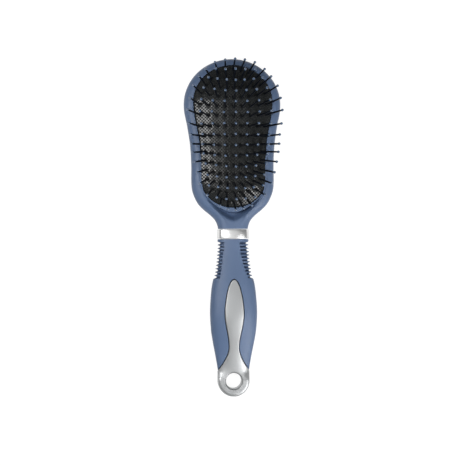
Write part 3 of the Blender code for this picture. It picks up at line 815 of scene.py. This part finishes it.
mouth_half = moved_out(pad_half, gap + mouth_round)
for share in mouth_shares:
    half = []
    for (lx, ly), (mx, my) in zip(lip_half, mouth_half):
        x, y = between(lx, mx, share), between(ly, my, share)
        half.append((x, y, front_z(y, from_side(x, y))))
    head_halves.append(half)

head_rings = [mirrored(half) for half in head_halves]
for grow, z in (
    (gap + mouth_round, rim_z - 0.03 * mm), (gap + 0.3 * mouth_round, rim_z - 0.3 * mouth_round),
    (gap, rim_z - mouth_round), (gap, ledge_z), (-ledge_width, ledge_z), (-ledge_width, back_wall),
):
    head_rings.append(pad_ring(pad_half, grow, z))
head = skin("head_moulding", head_rings)
finish_piece(head, blue_coat, "brush_body", ["head_shell"], 40.0)

# %% [markdown]
# ## The air cushion
# The pad is a sheet of rubber, domed by the air under it. Its edge turns down the mouth of the
# head and out under the lip in a bead, and the rubber is drawn in a little round every pin. A
# cloth simulation could blow it up, but its dome would only come near the solid one. So it is one
# skin again: the underside from the middle outwards, the bead, and the domed top back to the
# middle. The pins' places come first: fifteen bowed rows, counted from the top of the head.

# %% Places of the pins
row_counts = (5, 7, 9, 9, 9, 9, 9, 9, 9, 9, 9, 9, 9, 7, 5)
row_bow_shares = (
    -0.32, 0.05, 0.37, 0.50, 0.36, 0.26, 0.0, 0.0, 0.14, 0.36, 0.46, 0.46, 0.45, 0.38, 0.42,
)
row_reach_shares = (
    0.61, 0.71, 0.77, 0.835, 0.855, 0.87, 0.87, 0.862, 0.862, 0.86, 0.85, 0.835, 0.81, 0.72,
    0.52,
)
row_end_margin = 3.4 * mm
row_pitch = 2 * (pad_half_length - row_end_margin) / (len(row_counts) - 1)
pin_height = 18.0 * mm
side_lean_shares = (
    (-1.0, 0.42), (-0.63, 0.52), (-0.40, 0.66), (-0.14, 0.81), (0.10, 0.725), (0.33, 0.61),
    (0.55, 0.47), (1.0, 0.51),
)
end_lean_share = 0.353

rows = []
tables = zip(row_counts, row_bow_shares, row_reach_shares)
for k, (count, bow_share, reach_share) in enumerate(tables):
    y = row_pitch * ((len(row_counts) - 1) / 2 - k)
    end_y = y + bow_share * row_pitch
    reach = reach_share * pad_half_width(end_y)
    shares = spaced(-1.0, 1.0, count)
    rows.append([(reach * share, between(y, end_y, share * share)) for share in shares])

pin_tree = KDTree(sum(row_counts))
for number, (x, y) in enumerate(place for row in rows for place in row):
    pin_tree.insert((x, y, 0.0), number)
pin_tree.balance()
print("pins", sum(row_counts))

# %% Rings of the pad
pad_half_count = 170
under_count = 24
top_count = 62
dimple_depth = 0.3 * mm
dimple_radius = 1.3 * mm
bead_reach = 1.2 * mm
bead_height = 0.9 * mm
bead_low_z = ledge_z + gap
pad_edge_round = 0.5 * mm

fine_half = walk(pad_line, pad_half_count)


def sheet_ring(share, top):
    """A ring of the pad's sheet, drawn towards the line between its two lobes."""
    half = []
    for x, y in fine_half:
        spine_y = min(max(y, pad_low_lobe_y), pad_top_lobe_y)
        px, py = x * share, between(spine_y, y, share)
        z = pad_edge_z + pad_dome(px, py)
        if top:
            away = pin_tree.find((px, py, 0.0))[2] / dimple_radius
            z -= dimple_depth * math.exp(-away * away)
        else:
            z -= pad_thickness
        half.append((px, py, z))
    return mirrored(half)


pad_rings = [sheet_ring(share, False) for share in spaced(0.01, 0.97, under_count)]
for grow, z in (
    (-0.9 * mm, bead_low_z), (bead_reach - bead_height / 3, bead_low_z),
    (bead_reach, bead_low_z + bead_height / 2),
    (bead_reach - bead_height / 3, bead_low_z + bead_height), (0.0, bead_low_z + bead_height),
    (0.0, pad_edge_z - pad_edge_round), (-0.15 * mm, pad_edge_z - 0.12 * mm),
):
    pad_rings.append(pad_ring(fine_half, grow, z))
pad_rings += [sheet_ring(share, True) for share in spaced(0.985, 0.01, top_count)]
cushion = skin("rubber_pad", pad_rings)
finish_piece(cushion, rubber, "brush_body", ["air_cushion"], 50.0)
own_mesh(cushion)

# %% [markdown]
# ## The pins
# A pin is a turned shape: a flat head under the rubber, a tapered shaft and a ball on the tip. It
# is modelled once, with few faces, because there are 123 pins. Every copy gets its own mesh and
# leans outwards, the more the further it stands from the middle, with the small wobble of pins
# that sit in rubber. The copies of one row are joined, and their balls get the bead's brighter
# blue, which is partly a painted highlight.

# %% One pin
pin_sides = 10
ball_radius = 0.95 * mm
ball_degrees = (-62.0, -38.0, -12.0, 14.0, 40.0, 66.0)
pin_profile = [
    (-2.6 * mm, 0.9 * mm), (-2.1 * mm, 0.9 * mm), (-2.1 * mm, 0.74 * mm), (0.0, 0.78 * mm),
    (pin_height - 2.4 * ball_radius, 0.56 * mm),
]
for degrees in ball_degrees:
    angle = math.radians(degrees)
    height = pin_height - ball_radius + ball_radius * math.sin(angle)
    pin_profile.append((height, ball_radius * math.cos(angle)))


def circle(radius, z, sides, middle_y=0.0):
    """A level ring of points round a place on the middle line."""
    turns = [2 * math.pi * i / sides for i in range(sides)]
    return [(radius * math.cos(a), middle_y + radius * math.sin(a), z) for a in turns]


master_pin = skin("pin", [circle(radius, z, pin_sides) for z, radius in pin_profile])
on_ball = [face.center.z > pin_height - 2 * ball_radius for face in master_pin.data.polygons]
print("faces of a pin", len(on_ball), "of which on its ball", sum(on_ball))

# %% Rows of pins
random.seed(7)
wobble = 0.22 * mm
for number, row in enumerate(rows, start=1):
    copies = []
    for x, y in row:
        side_lean = smooth_through(side_lean_shares, y / pad_half_length)
        run_x = pin_height * side_lean * x / pad_top_half_width + random.uniform(-wobble, wobble)
        run_y = pin_height * end_lean_share * y / pad_half_length + random.uniform(-wobble, wobble)
        copy = master_pin.copy()
        copy.data = master_pin.data.copy()
        bpy.context.scene.collection.objects.link(copy)
        direction = Vector((run_x, run_y, pin_height))
        copy.rotation_mode = "QUATERNION"
        copy.rotation_quaternion = direction.to_track_quat("Z", "Y")
        copy.scale.z = direction.length / pin_height
        copy.location = (x, y, pad_edge_z + pad_dome(x, y))
        copies.append(copy)
    clear_selection()
    for copy in copies:
        copy.select_set(True)
    bpy.context.view_layer.objects.active = copies[0]
    bpy.ops.object.transform_apply(location=True, rotation=True, scale=True)
    bpy.ops.object.join()
    joined = bpy.context.object
    joined.name = joined.data.name = f"pins_{number:02d}"
    finish_piece(joined, nylon, "pin_field", [f"pin_row_{number:02d}"], 45.0)
    # The balls get the bead finish, whose lighter blue is partly a painted highlight.
    joined.data.materials.append(bead)
    for i, face in enumerate(joined.data.polygons):
        face.material_index = int(on_ball[i % len(on_ball)])
bpy.data.objects.remove(master_pin, do_unlink=True)

# %% [markdown]
# ## Sections of the handle
# The ferrule, the grip, the tang and the eye cap's tongue all follow one family of sections: a
# rounded rectangle that widens to the belly and thins towards the eye. A curve with a taper could
# sweep it, but its width and height would then change together, and here they don't.

# %% Handle sections
grip_power = 2.4
tongue_proud = 0.45 * mm


def handle_half_width(y):
    if y >= belly_y:
        share = smooth_through(grip_upper_shares, (grip_top_y - y) / grip_upper_run)
        return between(grip_top_half_width, grip_half_width, share)
    share = smooth_through(grip_lower_shares, (belly_y - y) / grip_lower_run)
    return between(eye_radius, grip_half_width, share)


def handle_front(y):
    if y >= belly_y:
        return between(neck_front, grip_front, ease((grip_top_y - y) / grip_upper_run))
    return between(grip_front, eye_depth - tongue_proud, ease((belly_y - y) / grip_lower_run))


def handle_back(y):
    return between(neck_back, grip_back, ease((grip_top_y - y) / grip_upper_run))


def oval(y, half_width, low, high, power, sides):
    """A rounded section in the plane at y."""
    ring = []
    for i in range(sides):
        angle = 2 * math.pi * (i + 0.5) / sides
        across, up = math.cos(angle), math.sin(angle)
        x = half_width * math.copysign(abs(across) ** (2 / power), across)
        z = (high - low) / 2 * math.copysign(abs(up) ** (2 / power), up)
        ring.append((x, y, (low + high) / 2 + z))
    return ring


def handle_ring(y, grow, sides):
    inside = min(max(y, grip_low_y), grip_top_y)
    half_width = handle_half_width(inside) + grow
    low, high = handle_back(inside) - grow, handle_front(inside) + grow
    return oval(y, half_width, low, high, grip_power, sides)


def handle_skin(name, low_y, high_y, grow, count, sides):
    return skin(name, [handle_ring(y, grow, sides) for y in spaced(low_y, high_y, count)])


print("handle", round(2 * handle_half_width(belly_y) / mm, 1), "mm wide at its belly")

# %% [markdown]
# ## The ferrule
# A pressed ring with eased edges. A cylinder with a Solidify and a Bevel modifier would be close,
# but its section isn't round. So its rings are placed too, and the cylinder's two ends are opened
# and bridged, which makes the inner wall that passes over the tang.

# %% Ferrule
neck_power = 2.5
ferrule_edge = 0.4 * mm
ferrule_flare = 0.15 * mm
socket_wall = 1.2 * mm
tang_inset = grip_wall + gap + socket_wall + gap
ferrule_sides = 128
edge_steps = 3


def ferrule_ring(y, grow):
    proud = ferrule_proud + grow
    low, high = neck_back - proud, neck_front + proud
    return oval(y, neck_half_width + proud, low, high, neck_power, ferrule_sides)


def bore_ring(y):
    """The inner wall's section, one gap outside the tang."""
    half_width = grip_top_half_width - tang_inset + gap
    low, high = neck_back + tang_inset - gap, neck_front - tang_inset + gap
    return oval(y, half_width, low, high, grip_power, ferrule_sides)


edge_turns = quarter_turn(edge_steps)
ferrule_rings = [bore_ring(ferrule_low_y)]
for angle in edge_turns:
    y = ferrule_low_y + ferrule_edge * (1 - math.cos(angle))
    ferrule_rings.append(ferrule_ring(y, ferrule_flare - ferrule_edge * (1 - math.sin(angle))))
for angle in reversed(edge_turns):
    y = ferrule_top_y - ferrule_edge * (1 - math.cos(angle))
    ferrule_rings.append(ferrule_ring(y, -ferrule_edge * (1 - math.sin(angle))))
ferrule_rings.append(bore_ring(ferrule_top_y))
ring = skin("ferrule_ring", ferrule_rings, joined_ends=True)
finish_piece(ring, bright, "brush_body", ["ferrule"], 60.0)

# %% [markdown]
# ## The grip
# The grip is a soft tube over the core. Its finger ribs are the walls between short slots that
# run in from both sides: wide and pointed at the silhouette, narrow bars on the front and back.
# The slots are pressed in by moving the rings' points, which keeps their edges soft, as moulded
# rubber is; cut slots would be sharp. The right ones run further in than the left ones, as in the
# photograph. The window for the silver tongue is cut with a Boolean, so its edge stays crisp.

# %% Finger slots
rib_count = 11
rib_pitch = 2.34 * mm
rib_start = 2.9 * mm
slot_depth = 1.95 * mm
slot_inner_top = 5.3 * mm
slot_inner_low = 10.8 * mm
slot_sweep_power = 1.7
slot_end_run = 0.5 * mm
slot_shift = 1.2 * mm
slot_face_half = 0.66 * mm
slot_side_half = 1.15 * mm
slot_floor_half = 0.34 * mm
slot_side_from = 0.8
slot_side_run = 0.2


def slot_sink(x, y, half_width):
    """How far the surface is pressed in by the slots, from 0 to 1."""
    k = round((grip_top_y - rib_start - y) / rib_pitch)
    if k < 0 or k >= rib_count:
        return 0.0
    off_middle = abs(y - (grip_top_y - rib_start - k * rib_pitch))
    share = (k / (rib_count - 1)) ** slot_sweep_power
    inner = between(slot_inner_top, slot_inner_low, share) - math.copysign(slot_shift, x)
    inner = min(inner, half_width - 2 * slot_depth)
    run_in = ease((abs(x) - inner) / slot_end_run)
    sideways = ease((abs(x) / half_width - slot_side_from) / slot_side_run)
    mouth = between(slot_face_half, slot_side_half, sideways)
    across = ease((mouth - off_middle) / (mouth - slot_floor_half))
    return run_in * across


print("slots a side", rib_count)

# %% Rings of the grip
grip_sides = 168
plain_count = 66
ribbed_count = 150
inner_count = 20
end_run = 0.25 * mm
end_drop = 0.2 * mm

grip_rings = []
rib_low_y = grip_top_y - rib_start - rib_count * rib_pitch
stations = [grip_low_y] + spaced(grip_low_y + end_run, rib_low_y, plain_count)[:-1]
stations += spaced(rib_low_y, grip_top_y, ribbed_count)
for y in stations:
    half_width = handle_half_width(y)
    end_gap = min(y - grip_low_y, grip_top_y - y)
    grow = -end_drop if end_gap < end_run / 2 else 0.0
    middle_z = (handle_front(y) + handle_back(y)) / 2
    half_height = (handle_front(y) - handle_back(y)) / 2
    placed = []
    for x, _, z in handle_ring(y, grow, grip_sides):
        nx, nz = x / half_width ** 2, (z - middle_z) / half_height ** 2
        length = math.hypot(nx, nz)
        sink = slot_depth * slot_sink(x, y, half_width)
        placed.append((x - sink * nx / length, y, z - sink * nz / length))
    grip_rings.append(placed)
for y in spaced(grip_top_y, grip_low_y, inner_count):
    grip_rings.append(handle_ring(y, -grip_wall, grip_sides))
grip = skin("soft_grip", grip_rings, joined_ends=True)
print("grip rings", len(grip_rings))

# %% [markdown]
# The tongue's outline runs from the eye cap's full width through a narrow waist to a long leaf
# shape. The window is the same outline, moved out by the width of the groove. Scaling the outline
# would be quicker, but the groove would then be wide at the ends and narrow at the waist.

# %% Outline of the tongue
tongue_groove = 0.55 * mm
tongue_flare_run = 16.1 * mm
tongue_waist_half = 3.3 * mm
tongue_belly_run = 24.6 * mm
tongue_belly_half = 6.4 * mm
tongue_tip_run = 22.6 * mm
flare_power = 1.7
tip_power = 1.5
tongue_round_y = shoulder_y + tongue_flare_run + tongue_belly_run
tongue_top_y = tongue_round_y + tongue_tip_run
overrun = 2.0 * mm
tongue_count = 95
flank_count = 400
tip_count = 100


def tongue_half_width(y):
    place = y - shoulder_y
    if place <= tongue_flare_run:
        share = (1 - max(place, 0.0) / tongue_flare_run) ** flare_power
        return between(tongue_waist_half, eye_radius, share)
    place -= tongue_flare_run
    if place <= tongue_belly_run:
        return between(tongue_waist_half, tongue_belly_half, ease(place / tongue_belly_run))
    share = min((place - tongue_belly_run) / tongue_tip_run, 1.0)
    return tongue_belly_half * math.sqrt(1 - share ** tip_power)


tongue_ys = spaced(shoulder_y, tongue_round_y, flank_count)
tongue_ys += towards_tip(tongue_round_y, tongue_top_y, tip_count)
tongue_line = [(tongue_half_width(y), y) for y in tongue_ys]
tongue_half = [(0.0, shoulder_y)] + walk(tongue_line, tongue_count)


def tongue_prism(name, grow, foot_y, low, high):
    """The tongue's outline, grown and extruded, with its foot at foot_y."""
    half = [(0.0, foot_y), (tongue_half[1][0] + grow, foot_y)]
    half += moved_out(tongue_half, grow)[2:]
    half[-1] = (0.0, half[-1][1])
    outline = mirrored(half)
    return skin(name, [[(x, y, z) for x, y in outline] for z in (low, high)])


print("tongue", round((tongue_top_y - shoulder_y) / mm, 1), "mm long")

# %% Window and painted slot shade of the grip
painted_shade_from = 0.5
window = tongue_prism(
    "window", tongue_groove, grip_low_y - overrun, eye_depth / 2 - gap, grip_front + overrun,
)
carve(grip, window)
finish_piece(grip, blue_coat, "brush_body", ["grip"], 40.0)
# The slot floors take the darker blue, which is a painted shade.
grip.data.materials.append(slot_painted_shade)
painted_shade_faces = 0
for face in grip.data.polygons:
    x, y, _ = face.center
    if slot_sink(x, y, handle_half_width(y)) > painted_shade_from:
        face.material_index = 1
        painted_shade_faces += 1
print("faces in the slots", painted_shade_faces)

# %% [markdown]
# ## The eye cap
# The cap is one silvered moulding: a round eye, a plug inside the grip and the tongue along the
# front. The parts are joined with Booleans, remeshed into one even skin and smoothed, which gives
# the soft edges of a plated casting; a Bevel would break where the joined parts cross. Smoothing
# leaves faint ripples, which silver would show, so the points of the two faces are then set back
# on the exact curved faces, and none is left below the plane that the brush lies on.

# %% Faces of the eye block
eye_hole_radius = 5.45 * mm
eye_hole_mouth = 6.3 * mm
eye_mouth_depth = 1.0 * mm
eye_edge = 2.0 * mm
eye_crown = 0.3 * mm
plug_length = 10.0 * mm


def section_height(x, y, side):
    """Height of the handle's section plus the tongue's, on its front (1) or its back (-1)."""
    inside = min(max(y, grip_low_y), grip_top_y)
    low, high = handle_back(inside) - tongue_proud, handle_front(inside) + tongue_proud
    share = min(abs(x) / (handle_half_width(inside) + tongue_proud), 1.0)
    rise = (1 - share ** grip_power) ** (1 / grip_power)
    return (low + high) / 2 + side * (high - low) / 2 * rise


def cap_face(x, y, side):
    """Height of the cap's face: the handle's section at the shoulder, a flat ring at the eye."""
    own = section_height(x, y, side)
    if y >= shoulder_y:
        return own
    from_edge = max(eye_radius - (math.hypot(x, y - eye_y) if y < eye_y else abs(x)), 0.0)
    past_round = max(1 - from_edge / eye_edge, 0.0)
    past_crown = max(1 - from_edge / (eye_radius - eye_hole_radius), 0.0)
    drop = eye_edge * (1 - math.sqrt(1 - past_round ** 2)) + eye_crown * past_crown ** 2
    flat = eye_depth - drop if side > 0 else drop
    return between(own, flat, ease((shoulder_y - y) / eye_set))


print("eye ring", round((eye_radius - eye_hole_radius) / mm, 2), "mm wide")

# %% Eye block
arc_count = 200
eye_count = 70
flat_count = 9
round_count = 7

arc = quarter_turn(arc_count)
eye_line = [(eye_radius * math.sin(a), eye_y - eye_radius * math.cos(a)) for a in arc]
eye_line.append((eye_radius, shoulder_y))
eye_half = walk(eye_line, eye_count) + [(0.0, shoulder_y)]


def eye_ring(share, side):
    """The eye's outline, drawn towards its middle line, on one of its faces."""
    half = []
    for x, y in eye_half:
        px, py = x * share, between(max(y, eye_y), y, share)
        half.append((px, py, cap_face(px, py, side)))
    return mirrored(half)


edge_share = eye_edge / eye_radius
edge_shares = [1 - edge_share * (1 - math.sin(turn)) for turn in quarter_turn(round_count)]
ring_shares = spaced(0.02, edge_shares[0], flat_count)[:-1] + edge_shares
eye_rings = [eye_ring(share, -1) for share in ring_shares]
eye_rings += [eye_ring(share, 1) for share in reversed(ring_shares)]
cap = skin("silver_eye_cap", eye_rings)
print("rings of the eye block", len(eye_rings))

# %% Tongue, plug and hole
hole_sides = 96
skin_cell = 0.28 * mm
smoothing_rounds = 10
under_y, plug_y, over_y = shoulder_y - overrun, shoulder_y + plug_length, tongue_top_y + overrun

tongue = tongue_prism("tongue", 0.0, shoulder_y - gap, eye_depth / 2, grip_front + overrun)
proud_form = handle_skin("proud_form", under_y, over_y, tongue_proud, count=60, sides=96)
carve(tongue, proud_form, "INTERSECT")
carve(tongue, handle_skin("under_form", plug_y, over_y, -grip_wall, count=50, sides=64))
carve(cap, handle_skin("plug", under_y, plug_y, -grip_wall - gap, count=6, sides=64), "UNION")
carve(cap, tongue, "UNION")
slope = (eye_hole_mouth - eye_hole_radius) / eye_mouth_depth
hole_profile = [
    (-overrun, eye_hole_mouth + slope * overrun),
    (eye_mouth_depth, eye_hole_radius),
    (eye_depth - eye_mouth_depth, eye_hole_radius),
    (eye_depth + overrun, eye_hole_mouth + slope * overrun),
]
carve(cap, skin("hole", [circle(radius, z, hole_sides, eye_y) for z, radius in hole_profile]))
apply_modifier(cap, "REMESH", mode="VOXEL", voxel_size=skin_cell)
apply_modifier(cap, "SMOOTH", factor=0.5, iterations=smoothing_rounds)
print("points of the eye cap", len(cap.data.vertices))

# %% Level the two faces
near, far = 0.10 * mm, 0.24 * mm
least_facing = 0.45
facing = [vert.normal.z for vert in cap.data.vertices]
levelled = 0
for vert, up in zip(cap.data.vertices, facing):
    x, y, z = vert.co
    if abs(up) < least_facing or (up < 0 and y > shoulder_y):
        continue
    wanted = cap_face(x, y, math.copysign(1, up))
    closeness = ease((far - abs(z - wanted)) / (far - near))
    vert.co.z = between(z, wanted, closeness)
    levelled += closeness > 0
for vert in cap.data.vertices:
    vert.co.z = max(vert.co.z, 0.0)
print("points levelled", levelled, "of", len(facing))
finish_piece(cap, satin, "brush_body", ["eye_cap"], 70.0)

# %% [markdown]
# ## Sizes and the end
# The dressed brush has to fill the same space as the solid one, so both boxes are written down
# and compared.

# %% Compare the boxes and finish
seen_low, seen_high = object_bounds()
for name, cad, seen in (("low", cad_low, seen_low), ("high", cad_high, seen_high)):
    print(name, [round((b - a) / mm, 2) for a, b in zip(cad, seen)], "mm from the CAD box")
